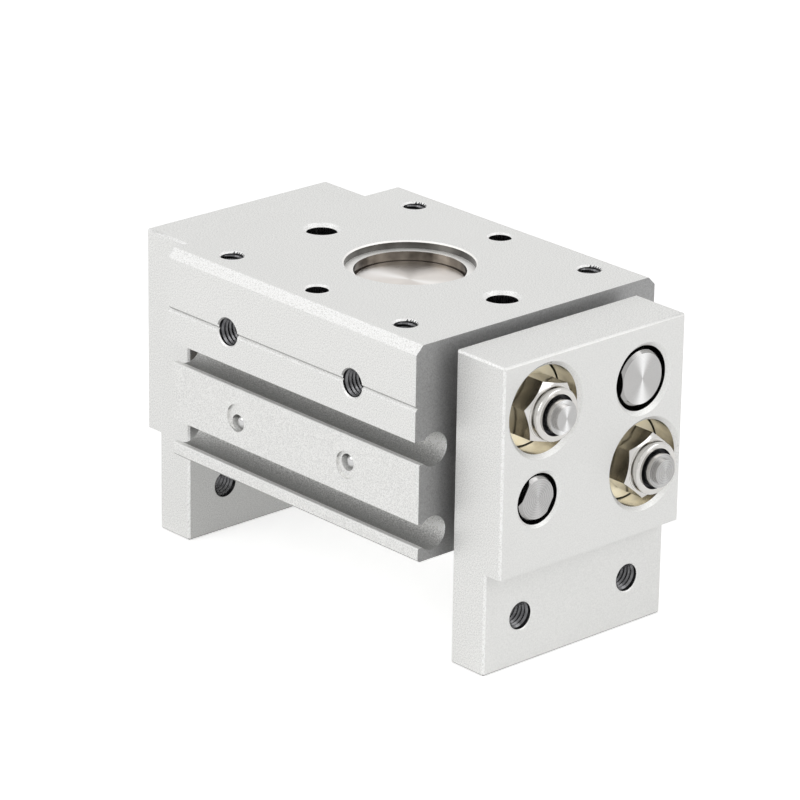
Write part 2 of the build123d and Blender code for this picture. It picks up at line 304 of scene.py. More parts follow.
def linked_object(name, content):
    """An object that holds that mesh, lamp or camera, linked into the scene."""
    holder = bpy.data.objects.new(name, content)
    bpy.context.scene.collection.objects.link(holder)
    return holder


def welded_copy(node_name, name):
    """A piece with a CAD node's shape, its split corners welded into one closed skin."""
    skin = bmesh.new()
    skin.from_mesh(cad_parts[node_name].data)
    bmesh.ops.remove_doubles(skin, verts=skin.verts, dist=0.0001 * mm)
    mesh = bpy.data.meshes.new(name)
    skin.to_mesh(mesh)
    skin.free()
    mesh.attributes.remove(mesh.attributes["custom_normal"])
    return linked_object(name, mesh)


def add_cutter(verts, faces, mouth, inward, outline, columns=48):
    """A turned cutter: its outline gives radius and depth in millimetres, from axis to axis."""
    inward = Vector(inward)
    side = inward.orthogonal().normalized()
    other = inward.cross(side)
    top = len(verts)
    verts.append(Vector(mouth) * mm + inward * outline[0][1] * mm)
    for radius, depth in outline[1:-1]:
        for column in range(columns):
            turn = 2 * pi * column / columns
            ray = side * cos(turn) + other * sin(turn)
            verts.append(Vector(mouth) * mm + (inward * depth + ray * radius) * mm)
    end = len(verts)
    verts.append(Vector(mouth) * mm + inward * outline[-1][1] * mm)
    rows = len(outline) - 2
    for column in range(columns):
        after = (column + 1) % columns
        faces.append((top, top + 1 + after, top + 1 + column))
        last = top + 1 + (rows - 1) * columns
        faces.append((end, last + column, last + after))
        for row in range(rows - 1):
            a = top + 1 + row * columns
            faces.append((a + column, a + after, a + columns + after, a + columns + column))


def rim_outline(rim, radius):
    """A countersink that breaks a hole's edge from its own radius out to the rim."""
    return [(0, -0.3), (rim + 0.3, -0.3), (radius - 0.1, rim - radius + 0.1), (0, rim - radius + 0.1)]


def drill_outline(radius, depth):
    """A plain round hole with a flat floor."""
    return [(0, -0.4), (radius, -0.4), (radius, depth), (0, depth)]


def add_edge_bar(verts, faces, y, z, reach):
    """A long square bar stood on its edge, which breaks a long corner of the body."""
    first = len(verts)
    for x in (-HALF_BAR, HALF_BAR):
        for across, up in ((reach, 0), (0, reach), (-reach, 0), (0, -reach)):
            verts.append(Vector((x, y + across, z + up)) * mm)
    a, b, c, d = range(first, first + 4)
    faces += [(d, c, b, a), (a + 4, b + 4, c + 4, d + 4)]
    for one, next_one in ((a, b), (b, c), (c, d), (d, a)):
        faces.append((one, next_one, next_one + 4, one + 4))


def cut_away(piece, verts, faces):
    """Cuts the cutters' shape out of the piece for good."""
    cutter_mesh = bpy.data.meshes.new("cutters")
    cutter_mesh.from_pydata(verts, [], faces)
    cutters = linked_object("cutters", cutter_mesh)
    cut = piece.modifiers.new("cut", "BOOLEAN")
    cut.object = cutters
    cut.solver = "EXACT"
    bpy.context.view_layer.update()
    evaluated = piece.evaluated_get(bpy.context.evaluated_depsgraph_get())
    trimmed = bpy.data.meshes.new_from_object(evaluated)
    piece.modifiers.remove(cut)
    piece.data = trimmed
    bpy.data.objects.remove(cutters)


FACET_ANGLE = radians(28)


def paint_faces(piece, materials, surface_of):
    """Gives each face the finish of its surface, and shades round faces smooth."""
    mesh = piece.data
    mesh.materials.clear()
    names = list(materials)
    for name in names:
        mesh.materials.append(materials[name])
    for face in mesh.polygons:
        face.material_index = names.index(surface_of(face.center / mm, face.normal))
    mesh.polygons.foreach_set("use_smooth", [True] * len(mesh.polygons))
    mesh.set_sharp_from_angle(angle=FACET_ANGLE)


def edge_of(outward, otherwise):
    """A broken edge gets a painted highlight where it looks up, and painted shade where it looks down.
    """
    if max(abs(part) for part in outward) > 0.95:
        return otherwise
    return "painted_shade_edge" if outward.z < -0.2 else "painted_highlight_edge"


# Limits that tell the body's surfaces apart, in millimetres: each lies just past a hole's
# radius, or between one surface and the next.
UNDER_TOP = 57.15
WELL_FLOOR = 51
INSIDE_RECESS_WALL = 10.5
NEAR_END = 31.7
NEAR_FRONT = 27.45
RACK_BORE_REACH = 6.0
CYLINDER_REACH = 8.2
GROOVE_REACH = 3.03
GROOVE_WALL_END = 25.8
MOUTH_REACH = 2.3
MOUTH_DEPTHS = (20.2, 27.4)


def body_surface(middle, outward):
    x, y, z = abs(middle.x), abs(middle.y), middle.z
    from_axis = hypot(x, y)
    if from_axis < PILOT_RADIUS + PILOT_BREAK and WELL_FLOOR < z < UNDER_TOP:
        if abs(outward.z) > 0.5:
            return "recess_ledge"
        return "painted_shade_recess_wall" if from_axis > INSIDE_RECESS_WALL else "painted_shade_well_wall"
    for (hole_x, hole_y), radius in (
        (CORNER_PLACE, M4_ROOT), (PIN_PLACE, PIN_RADIUS), (THROUGH_PLACE, THROUGH_RADIUS),
    ):
        if hypot(x - hole_x, y - hole_y) < radius + 0.04 and z < UNDER_TOP:
            return "painted_shade_bored_wall"
    if hypot(x - PORT_PLACE[0], z - PORT_PLACE[1]) < M5_ROOT + 0.02 and 20 < y < NEAR_FRONT:
        return "painted_shade_bored_wall"
    # The body's end faces, which look at the finger plates across a narrow gap, get painted shade.
    if x > NEAR_END and abs(outward.x) > 0.9:
        return "painted_shade_end"
    for (bore_y, bore_z), reach in ((RACK_PLACE, RACK_BORE_REACH), (PISTON_PLACE, CYLINDER_REACH)):
        if hypot(y - bore_y, z - bore_z) < reach:
            return "painted_shade_bored_wall"
    for height in GROOVE_HEIGHTS:
        if hypot(y - GROOVE_Y, z - height) < GROOVE_REACH and y < GROOVE_WALL_END:
            return "groove_wall"
        in_mouth = abs(z - height) < MOUTH_REACH and MOUTH_DEPTHS[0] < y < MOUTH_DEPTHS[1]
        # The roof of a groove's mouth, which looks down, gets painted shade.
        if in_mouth and outward.z < -0.5:
            return "painted_shade_edge"
        # The groove's lower lip, which looks up, gets a painted highlight.
        on_lip = abs(z - height + HALF_MOUTH) < 0.2
        if (in_mouth or on_lip) and outward.z > 0.5:
            return "painted_highlight_lip"
    return edge_of(outward, "blasted")


def make_body_skin():
    skin = welded_copy("body_block", "body_skin")
    verts, faces = [], []
    down, inward = (0, 0, -1), (0, 1, 0)
    corner_hole = drill_outline(M4_ROOT, CORNER_DEPTH)
    port_hole = drill_outline(M5_ROOT, PORT_DEPTH)
    through_rim = rim_outline(THROUGH_RIM, THROUGH_RADIUS)
    pin_rim = rim_outline(PIN_RIM, PIN_RADIUS)
    recess_rim = rim_outline(PILOT_RADIUS + PILOT_BREAK, PILOT_RADIUS)
    for sx in (-1, 1):
        for sy in (-1, 1):
            corner = (sx * CORNER_PLACE[0], sy * CORNER_PLACE[1], BODY_TOP)
            add_cutter(verts, faces, corner, down, corner_hole)
        port = (sx * PORT_PLACE[0], -BODY_FRONT, PORT_PLACE[1])
        add_cutter(verts, faces, port, inward, port_hole)
        add_cutter(verts, faces, (sx * THROUGH_PLACE[0], 0, BODY_TOP), down, through_rim)
        add_cutter(verts, faces, (0, sx * PIN_PLACE[1], BODY_TOP), down, pin_rim)
    add_cutter(verts, faces, (0, 0, BODY_TOP), down, recess_rim, 128)
    for height in GROOVE_HEIGHTS:
        for sy in (-1, 1):
            add_edge_bar(verts, faces, sy * LOW_SIDE, height - HALF_MOUTH, LIP_BREAK)
    cut_away(skin, verts, faces)
    return skin


shared_finishes = {
    "blasted": make_blasted("blasted", BLASTED),
    # Painted highlight on broken edges that look up, and painted shade on edges and faces that look
    # down.
    "painted_highlight_edge": make_blasted("painted_highlight_edge", (0.96, 0.96, 0.945, 1.0), 0.9, 0.6),
    "painted_shade_edge": make_blasted("painted_shade_edge", (0.40, 0.40, 0.39, 1.0), 0.6),
    # Painted shade: the walls of the bored holes and bores are coloured dark.
    "painted_shade_bored_wall": make_turned(
        "painted_shade_bored_wall", (0.09, 0.09, 0.095, 1.0), (0.20, 0.20, 0.20, 1.0), 0.28, 1.5 * mm
    ),
}
body_skin = make_body_skin()
paint_faces(
    body_skin,
    {
        **shared_finishes,
        # Painted shade on the body's end faces.
        "painted_shade_end": make_blasted("painted_shade_end", (0.38, 0.38, 0.38, 1.0), 0.8),
        "groove_wall": make_groove_wall(),
        # Painted highlight on the groove lips.
        "painted_highlight_lip": make_blasted("painted_highlight_lip", (0.95, 0.95, 0.935, 1.0), 0.4),
        "recess_ledge": make_turned(
            "recess_ledge", (0.88, 0.87, 0.85, 1.0), (0.96, 0.95, 0.93, 1.0), 0.55, 3 * mm
        ),
        # Painted shade on the recess and well walls; the well wall's warm tint is a painted reflection
        # of the cap.
        "painted_shade_recess_wall": make_turned(
            "painted_shade_recess_wall", (0.05, 0.048, 0.045, 1.0), (0.17, 0.166, 0.158, 1.0), 0.22, 5 * mm
        ),
        "painted_shade_well_wall": make_turned(
            "painted_shade_well_wall", (0.05, 0.042, 0.036, 1.0), (0.26, 0.235, 0.205, 1.0), 0.2, 3.5 * mm
        ),
    },
    body_surface,
)
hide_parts("body_block")
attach(body_skin, "body")

# Thread turns in the tapped holes: four M4 holes in the top face, two M5 air ports in the
# front side and two M5 jaw holes through each finger. Each is the ridge that the tap leaves
# between its turns, from the full thread's root in to the drilled size.
# The threads' dark colours are painted shade inside the holes.
THREAD_DARK = (0.10, 0.10, 0.105, 1.0)
THREAD_PALE = (0.19, 0.19, 0.195, 1.0)
M4_PITCH = 0.7
M5_PITCH = 0.8
M4_LEAD_IN = 0.7
M5_LEAD_IN = 0.65
CORNER_THREAD_DEPTH = 8.5
PORT_THREAD_DEPTH = 6.0
WALL_CLEARANCE = 0.004
RIDGE_PROFILE = ((-0.44, 0.0), (-0.08, 1.0), (0.08, 1.0), (0.44, 0.0))


def tapped_turns(name, mouth, inward, root, pitch, depth, lead_in):
    """A helical ridge on a hole's wall, from lead_in below the mouth down to depth.

    Its profile gives, for each corner, a shift along the hole in turns and a share of its height.
    """
    steps = 32
    ridge = 0.43 * pitch
    count = int((depth - lead_in) / pitch * steps)
    inward = Vector(inward)
    side = inward.orthogonal().normalized()
    other = inward.cross(side)
    verts = []
    faces = []
    for step in range(count + 1):
        angle = 2 * pi * step / steps
        along = lead_in + pitch * step / steps
        fade = min(1.0, step / steps * 2, (count - step) / steps * 2)
        ray = side * cos(angle) + other * sin(angle)
        for shift, height in RIDGE_PROFILE:
            radius = root - WALL_CLEARANCE - ridge * height * fade
            verts.append((Vector(mouth) + ray * radius + inward * (along + shift * pitch)) * mm)
        if step:
            low = 4 * (step - 1)
            faces += [(low + k, low + k + 1, low + k + 5, low + k + 4) for k in range(3)]
    mesh = bpy.data.meshes.new(name)
    mesh.from_pydata(verts, [], faces)
    mesh.update()
    mesh.materials.append(shaded_thread_aluminium)
    return linked_object(name, mesh)


shaded_thread_aluminium = make_turned("painted_shade_tapped_aluminium", THREAD_DARK, THREAD_PALE, 0.26, 1.0 * mm)
corner_places = [(sx * CORNER_PLACE[0], sy * CORNER_PLACE[1]) for sx in (-1, 1) for sy in (-1, 1)]
for number, (x, y) in enumerate(corner_places):
    thread = tapped_turns(
        f"corner_thread_{number + 1}", (x, y, BODY_TOP), (0, 0, -1),
        M4_ROOT, M4_PITCH, CORNER_THREAD_DEPTH, M4_LEAD_IN,
    )
    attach(thread, "body")
for port_name, sx in (("left_port_thread", -1), ("right_port_thread", 1)):
    mouth = (sx * PORT_PLACE[0], -BODY_FRONT, PORT_PLACE[1])
    thread = tapped_turns(
        port_name, mouth, (0, 1, 0), M5_ROOT, M5_PITCH, PORT_THREAD_DEPTH, M5_LEAD_IN
    )
    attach(thread, "body")

# Passage plugs. Two steel balls pressed into the mouths of drillings in the front side,
# each in a shallow spot face. They are polished, and mirror the room.
BALL_RADIUS = 1.5 * mm
BALL_PLACES = ((-14.8 * mm, 29.7 * mm), (13.6 * mm, 31.1 * mm))


def make_polished_steel():
    material, tree, shader = new_material("polished_ball", (0.62, 0.62, 0.62, 1.0), 1.0, 0.12)
    scuff = noise(tree, place_on_object(tree), 0.7 * mm, 3.0)
    rough = math_node(tree, "MULTIPLY_ADD", scuff, 0.12, 0.08)
    tree.links.new(rough, shader.inputs["Roughness"])
    return material


def sealing_balls():
    """Both balls in one piece, as they are in one CAD node."""
    low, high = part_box("passage_plugs")
    rows, columns = 14, 24
    verts = []
    faces = []
    for x, z in BALL_PLACES:
        middle = Vector((x, (low[1] + high[1]) / 2, z))
        first = len(verts)
        for row in range(rows + 1):
            tilt = pi * row / rows
            for column in range(columns):
                turn = 2 * pi * column / columns
                ray = Vector((sin(tilt) * cos(turn), -cos(tilt), sin(tilt) * sin(turn)))
                verts.append(middle + BALL_RADIUS * ray)
        for row in range(rows):
            for column in range(columns):
                after = (column + 1) % columns
                a, b = first + row * columns, first + (row + 1) * columns
                faces.append((a + column, b + column, b + after, a + after))
    mesh = bpy.data.meshes.new("sealing_balls")
    mesh.from_pydata(verts, [], faces)
    mesh.update()
    mesh.polygons.foreach_set("use_smooth", [True] * len(mesh.polygons))
    mesh.materials.append(make_polished_steel())
    return linked_object("sealing_balls", mesh)


balls = sealing_balls()
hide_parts("passage_plugs")
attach(balls, "body")

# Pinion cap. A steel disc, faced on a lathe and pressed down into the well over the pinion.
# Two opposite fans of painted highlight lie on its face, and painted shade makes a dark ring round its
# edge.
CAP_EDGE = 9.5 * mm
CAP_FANS = (0.94, 0.34, 0)


def stretch_gloss(tree, shader, axis, strength):
    """Draws the gloss out across the rings that a lathe leaves round an axis."""
    shader.inputs["Anisotropic"].default_value = strength
    tangent = tree.nodes.new("ShaderNodeTangent")
    tangent.direction_type = "RADIAL"
    tangent.axis = axis
    tree.links.new(tangent.outputs[0], shader.inputs["Tangent"])


def make_faced_steel():
    material, tree, shader = new_material("faced_cap", (0.84, 0.80, 0.765, 1.0), 1.0, 0.26)
    place = place_on_object(tree)
    turned = placed_group(
        tree, turned_finish, Position=place, Axis_Place=(0, 0, 0), Across=(1, 1, 0),
        Ring_Pitch=0.3 * mm, Fan_Direction=CAP_FANS,
    )
    stain = noise(tree, place, 4 * mm, 3.0)
    plain = mix_colour(tree, stain, (0.77, 0.72, 0.675, 1.0), (0.88, 0.85, 0.82, 1.0))
    # Painted highlight: the fans blend the face towards a pale colour.
    lit = mix_colour(tree, turned.outputs["Fans"], plain, (0.97, 0.95, 0.93, 1.0))
    # Painted shade: a dark ring round the cap's edge, next to the well wall.
    edge = math_node(tree, "GREATER_THAN", turned.outputs["Distance"], CAP_EDGE)
    tree.links.new(mix_colour(tree, edge, lit, (0.10, 0.085, 0.075, 1.0)), shader.inputs["Base Color"])
    rough = math_node(tree, "MULTIPLY_ADD", turned.outputs["Rings"], 0.08, 0.36)
    tree.links.new(rough, shader.inputs["Roughness"])
    stretch_gloss(tree, shader, "Z", 0.85)
    return material


def dress(node_name, material):
    """Gives a CAD node that material."""
    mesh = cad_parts[node_name].data
    mesh.materials.clear()
    mesh.materials.append(material)


dress("pinion_cap", make_faced_steel())

# Inside pieces. The pinion, which the rack rods' teeth run in, and its pin are hardened steel.
# The cylinder covers are bronze-bushed rings, and the pistons carry bonded rubber.
def darkened(colour, share):
    return tuple(share * part for part in colour[:3]) + (1.0,)


def make_plain_metal(name, colour, roughness, grain, metallic=1.0):
    """A machined or moulded finish with slight variation in shade and gloss."""
    material, tree, shader = new_material(name, colour, metallic, roughness)
    place = place_on_object(tree)
    patches = noise(tree, place, grain, 3.0)
    patched = mix_colour(tree, patches, darkened(colour, 0.86), colour)
    tree.links.new(patched, shader.inputs["Base Color"])
    rough = math_node(tree, "MULTIPLY_ADD", patches, 0.14, roughness - 0.07)
    tree.links.new(rough, shader.inputs["Roughness"])
    return material


hardened_steel = make_plain_metal("hardened_steel", (0.36, 0.36, 0.38, 1.0), 0.32, 1.5 * mm)
bronze = make_plain_metal("cover_bronze", (0.52, 0.38, 0.22, 1.0), 0.4, 1.5 * mm)
rubber = make_plain_metal("piston_rubber", (0.03, 0.03, 0.033, 1.0), 0.6, 1.0 * mm, 0.0)
for node_name, material in (
    ("pinion_gear", hardened_steel),
    ("pinion_shaft", hardened_steel),
    ("right_cylinder_cover", bronze),
    ("left_cylinder_cover", bronze),
    ("right_piston", rubber),
    ("left_piston", rubber),
):
    dress(node_name, material)

# Finger plates. Two stepped aluminium plates, milled, blasted and anodised like the body.
# Their pockets and rod holes are bored after blasting, so their walls are glossy; the rod holes and
# pocket floors are coloured dark with painted shade.
# The skin is the imported plate with its top edges broken less and its jaw holes at full thread.
POCKET_RADIUS = 7.7
JAW_PLACE = (12.5, 8.8)
JAW_OUTER = 42.35
JAW_HOLE_DEPTH = 8.5
JAW_THREAD_DEPTH = 7.7
PLATE_TOP = 55.9
PLATE_OUTER = 45.8
PLATE_INNER_EDGE = 34.36
HALF_PLATE = 20.9
PACKED_CHAMFER = 0.75


def sharpen_top_edges(piece):
    """Halves the chamfer round the plate's top face, and nearly closes it along the inner edge."""
    for vertex in piece.data.vertices:
        x, y, z = abs(vertex.co.x) / mm, abs(vertex.co.y) / mm, vertex.co.z / mm
        if z < PLATE_TOP - PACKED_CHAMFER:
            continue
        if z > PLATE_TOP - 0.1:
            x = PLATE_OUTER - (PLATE_OUTER - x) / 2 if x > 40 else PLATE_INNER_EDGE
            y = HALF_PLATE - (HALF_PLATE - y) / 2 if y > 20 else y
        else:
            z = PLATE_TOP - (PLATE_TOP - z) / 2
        vertex.co = Vector((x if vertex.co.x > 0 else -x, y if vertex.co.y > 0 else -y, z)) * mm


def make_plate_skin(side_name, side):
    skin = welded_copy(f"{side_name}_finger_plate", f"{side_name}_plate_skin")
    sharpen_top_edges(skin)
    verts, faces = [], []
    for row in (-1, 1):
        mouth = (side * JAW_OUTER, row * JAW_PLACE[0], JAW_PLACE[1])
        add_cutter(verts, faces, mouth, (-side, 0, 0), drill_outline(M5_ROOT, JAW_HOLE_DEPTH))
    cut_away(skin, verts, faces)
    return skin


# Limits that tell a plate's surfaces apart, chosen as for the body.
NEAR_INNER_FACE = 34.4
POCKET_FLOOR = 39.2
UNDER_POCKET_RIM = 45.2
RACK_HOLE_REACH = 5.78
PISTON_HOLE_REACH = 4.53
INSIDE_JAW_FRONT = 41.5


def plate_surface_on(side):
    """Tells the surfaces of one side's plate apart; its rods' places are mirrored on the other."""
    rack_y, rack_z = RACK_PLACE
    piston_y, piston_z = PISTON_PLACE
    pockets = ((-side * rack_y, rack_z), (side * piston_y, piston_z))
    rod_holes = (
        (side * rack_y, rack_z, RACK_HOLE_REACH),
        (-side * piston_y, piston_z, PISTON_HOLE_REACH),
    )

    def plate_surface(middle, outward):
        x, y, z = abs(middle.x), middle.y, middle.z
        # The inner faces, which look at the body across a narrow gap, get painted shade.
        if x < NEAR_INNER_FACE and abs(outward.x) > 0.9:
            return "painted_shade_inner_face"
        for place_y, place_z in pockets:
            if hypot(y - place_y, z - place_z) < POCKET_RADIUS + 0.02 and x < UNDER_POCKET_RIM:
                return "pocket_wall" if x > POCKET_FLOOR else "painted_shade_bored_wall"
        for place_y, place_z, reach in rod_holes:
            if hypot(y - place_y, z - place_z) < reach:
                return "painted_shade_bored_wall"
        from_jaw_hole = hypot(abs(y) - JAW_PLACE[0], z - JAW_PLACE[1])
        if from_jaw_hole < M5_ROOT + 0.02 and abs(outward.x) < 0.5:
            return "painted_shade_bored_wall"
        # Plate faces that look down get painted shade.
        if outward.z < -0.9 and z > 1:
            return "painted_shade_edge"
        # The plate's front edges get a painted highlight.
        if x > PLATE_OUTER - 0.5 and z > PLATE_TOP - 0.4 and 0.5 < outward.z < 0.9:
            return "painted_highlight_front_edge"
        off_the_long_edges = abs(y) < 20.3 and 2 < z < 54.5
        if x > INSIDE_JAW_FRONT and off_the_long_edges and 0.4 < abs(outward.x) < 0.95:
            return "painted_highlight_front_edge"
        return "front_face" if abs(outward.x) > 0.95 else edge_of(outward, "blasted")

    return plate_surface


plate_finishes = {
    # Painted shade on the inner faces.
    "painted_shade_inner_face": make_blasted("painted_shade_inner_face", (0.64, 0.64, 0.63, 1.0), 0.6),
    # A slightly darker copy of the blasted skin, with finer grain: painted shade on the plates' outer
    # faces.
    "front_face": make_blasted("front_face", (0.84, 0.84, 0.824, 1.0), 0.25),
    # Painted highlight on the front edges.
    "painted_highlight_front_edge": make_blasted("painted_highlight_front_edge", (0.97, 0.97, 0.95, 1.0), 0.4),
}
for side_name, side in (("right", 1), ("left", -1)):
    plate = make_plate_skin(side_name, side)
    pocket_wall = make_turned(
        f"{side_name}_pocket_wall", (0.42, 0.395, 0.36, 1.0), (0.78, 0.75, 0.69, 1.0), 0.18,
        3.5 * mm, 0.25 * mm, (0, -side * RACK_PLACE[0] * mm, RACK_PLACE[1] * mm), (0, 1, 1),
    )
    finishes = {**shared_finishes, **plate_finishes, "pocket_wall": pocket_wall}
    paint_faces(plate, finishes, plate_surface_on(side))
    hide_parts(f"{side_name}_finger_plate")
    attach(plate, f"{side_name}_finger")
    for row_name, row in (("front", -1), ("rear", 1)):
        thread = tapped_turns(
            f"{side_name}_jaw_thread_{row_name}", (side * JAW_OUTER, row * JAW_PLACE[0], JAW_PLACE[1]),
            (-side, 0, 0), M5_ROOT, M5_PITCH, JAW_THREAD_DEPTH, M5_LEAD_IN,
        )
        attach(thread, f"{side_name}_finger")

# Rods. Ground steel bars with turned ends; the rack rods have a flat with the teeth, and the
# piston rods two wrench flats. A turned end has fans of painted highlight from its middle.
# The skin is the imported rod with a smaller chamfer on its threaded tip.
ROD_TIP = 50.7
TIP_CHAMFER = 0.8
TIP_FACE_RADIUS = 2.2
BEHIND_PACKED_CHAMFER = 1.3


def make_turned_end(name, colour, ring_depth, fan_highlight_depth, y, z, ring_pitch):
    """A rod's end, with rings round the rod's own axis and upright fans of painted highlight."""
    material, tree, shader = new_material(name, colour, 1.0, 0.3)
    turned = placed_group(
        tree, turned_finish, Position=place_on_object(tree), Axis_Place=(0, y * mm, z * mm),
        Across=(0, 1, 1), Ring_Pitch=ring_pitch, Fan_Direction=(0, 0, 1),
    )
    ringed = mix_colour(tree, turned.outputs["Rings"], darkened(colour, 1 - ring_depth), colour)
    # Painted highlight: the fans blend the end towards a pale grey.
    share = math_node(tree, "MULTIPLY", turned.outputs["Fans"], fan_highlight_depth)
    tree.links.new(mix_colour(tree, share, ringed, (0.92, 0.92, 0.92, 1.0)), shader.inputs["Base Color"])
    rough = math_node(tree, "MULTIPLY_ADD", turned.outputs["Rings"], 0.08, 0.24)
    tree.links.new(rough, shader.inputs["Roughness"])
    stretch_gloss(tree, shader, "X", 0.75)
    return material


def rod_surface(middle, outward):
    if abs(outward.x) > 0.9:
        return "turned_end"
    return "turned_side" if 0.3 < abs(outward.x) else "ground_side"


def widen_tip_face(piece, side, y, z):
    """Makes the tip's chamfer smaller, with the rod as long as it was."""
    for vertex in piece.data.vertices:
        x = side * vertex.co.x / mm
        if x > ROD_TIP - 0.05:
            from_axis = Vector((0, vertex.co.y / mm - y, vertex.co.z / mm - z))
            if from_axis.length > 1:
                moved = from_axis.normalized() * TIP_FACE_RADIUS
                vertex.co = Vector((side * ROD_TIP, y + moved.y, z + moved.z)) * mm
        elif x > ROD_TIP - BEHIND_PACKED_CHAMFER:
            vertex.co.x = side * (ROD_TIP - TIP_CHAMFER) * mm


ground_side = make_plain_metal("ground_side", (0.60, 0.59, 0.575, 1.0), 0.24, 1.2 * mm)
turned_side = make_plain_metal("turned_side", (0.42, 0.415, 0.41, 1.0), 0.14, 0.8 * mm)
for side_name, side in (("right", 1), ("left", -1)):
    for line_name, (y, z), ring_depth, fan_highlight_depth, pitch in (
        ("rack", (-side * RACK_PLACE[0], RACK_PLACE[1]), 0.05, 0.9, 0.25 * mm),
        ("piston", (side * PISTON_PLACE[0], PISTON_PLACE[1]), 0.22, 0.2, 0.42 * mm),
    ):
        rod = welded_copy(f"{side_name}_{line_name}_rod", f"{side_name}_{line_name}_rod_skin")
        widen_tip_face(rod, side, y, z)
        turned_end = make_turned_end(
            f"{side_name}_{line_name}_end", (0.50, 0.495, 0.49, 1.0), ring_depth, fan_highlight_depth, y, z, pitch
        )
        finishes = {"ground_side": ground_side, "turned_side": turned_side, "turned_end": turned_end}
        paint_faces(rod, finishes, rod_surface)
        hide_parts(f"{side_name}_{line_name}_rod")
        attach(rod, f"{side_name}_finger")

# Washers. Pressed steel rings, plated with zinc and passivated yellow,
# so they shift from straw to a paler, greener yellow.
def make_yellow_zinc():
    material, tree, shader = new_material("yellow_zinc", (0.95, 0.87, 0.65, 1.0), 1.0, 0.42)
    place = place_on_object(tree)
    shift = noise(tree, place, 3 * mm, 2.0)
    straw = mix_colour(tree, shift, (0.97, 0.87, 0.61, 1.0), (0.93, 0.90, 0.77, 1.0))
    tree.links.new(straw, shader.inputs["Base Color"])
    fine = noise(tree, place, 0.3 * mm, 2.0)
    tree.links.new(math_node(tree, "MULTIPLY_ADD", fine, 0.15, 0.36), shader.inputs["Roughness"])
    return material


yellow_zinc = make_yellow_zinc()
for side_name in ("right", "left"):
    for line_name in ("rack", "piston"):
        dress(f"{side_name}_{line_name}_washer", yellow_zinc)

# Self-locking nuts. Nickel-plated M6 hexagons with a chamfered crown and a rolled collar,
# whose rim is bent in over the locking ring. They are turned on over the washers.
HALF_ACROSS_FLATS = 5.0 * mm
HEX_HEIGHT = 6.2 * mm
COLLAR_RADIUS = 4.65 * mm
COLLAR_HEIGHT = 1.8 * mm
COLLAR_WALL = 1.05 * mm
COLLAR_ROLL = 0.5 * mm
COLLAR_FILLET = 0.12 * mm
RING_DROP = 1.0 * mm
BORE_RADIUS = 3.05 * mm
SEAT_SHARE = 1.02
CROWN_SHARE = 0.97
CROWN_SLOPE = tan(radians(30))
NUT_FACET_ANGLE = radians(24)
NUT_TURNS = {"right_rack": 15.0, "right_piston": 50.0, "left_rack": 33.0, "left_piston": 5.0}


def make_nickel():
    material, tree, shader = new_material("nickel_plate", (0.66, 0.645, 0.62, 1.0), 1.0, 0.2)
    place = place_on_object(tree)
    haze = noise(tree, place, 1.6 * mm, 3.0)
    tree.links.new(math_node(tree, "MULTIPLY_ADD", haze, 0.12, 0.08), shader.inputs["Roughness"])
    hazed = mix_colour(tree, haze, (0.60, 0.58, 0.55, 1.0), (0.72, 0.71, 0.69, 1.0))
    tree.links.new(hazed, shader.inputs["Base Color"])
    return material


def nut_outline(angle):
    """Radius and height of the nut's skin, from the seat round to the bore, at one angle."""
    from_flat = (angle + pi / 6) % (pi / 3) - pi / 6
    hexagon = HALF_ACROSS_FLATS / cos(from_flat)
    seat_corner = HALF_ACROSS_FLATS * SEAT_SHARE
    crown_rim = HALF_ACROSS_FLATS * CROWN_SHARE
    top = HEX_HEIGHT + COLLAR_HEIGHT
    inner = COLLAR_RADIUS - COLLAR_WALL
    outline = [
        (BORE_RADIUS, 0.0),
        (min(hexagon, seat_corner), 0.0),
        (hexagon, max(0.0, (hexagon - seat_corner) * CROWN_SLOPE)),
        (hexagon, HEX_HEIGHT - max(0.0, (hexagon - crown_rim) * CROWN_SLOPE)),
        (crown_rim, HEX_HEIGHT),
        (COLLAR_RADIUS + COLLAR_FILLET, HEX_HEIGHT),
        (COLLAR_RADIUS, HEX_HEIGHT + COLLAR_FILLET),
        (COLLAR_RADIUS, top - COLLAR_ROLL - 0.05 * mm),
    ]
    for step in range(1, 6):
        tilt = pi / 2 * step / 5
        radius = COLLAR_RADIUS - COLLAR_ROLL * (1 - cos(tilt))
        outline.append((radius, top - COLLAR_ROLL * (1 - sin(tilt))))
    return outline + [(inner, top - 0.1 * mm), (inner, top - RING_DROP), (BORE_RADIUS, top - RING_DROP)]


def locking_nut(name, side, y, z, turn):
    """The hexagon, its crown, its collar and the locking ring as one closed skin."""
    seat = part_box(name)[0][0] if side > 0 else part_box(name)[1][0]
    columns = 72
    verts = []
    faces = []
    rows = len(nut_outline(0.0))
    for column in range(columns):
        angle = 2 * pi * column / columns
        for radius, height in nut_outline(angle):
            swing = angle + radians(turn)
            verts.append((seat + side * height, y + side * radius * cos(swing), z + radius * sin(swing)))
    for column in range(columns):
        a, b = column * rows, ((column + 1) % columns) * rows
        faces += [(a + row, b + row, b + (row + 1) % rows, a + (row + 1) % rows) for row in range(rows)]
    mesh = bpy.data.meshes.new(name + "_skin")
    mesh.from_pydata(verts, [], faces)
    mesh.update()
    mesh.materials.append(nickel)
    mesh.materials.append(locking_ring)
    ring_rows = 3
    for number, face in enumerate(mesh.polygons):
        face.material_index = 1 if number % rows >= rows - ring_rows else 0
    mesh.polygons.foreach_set("use_smooth", [True] * len(mesh.polygons))
    mesh.set_sharp_from_angle(angle=NUT_FACET_ANGLE)
    return linked_object(name + "_skin", mesh)


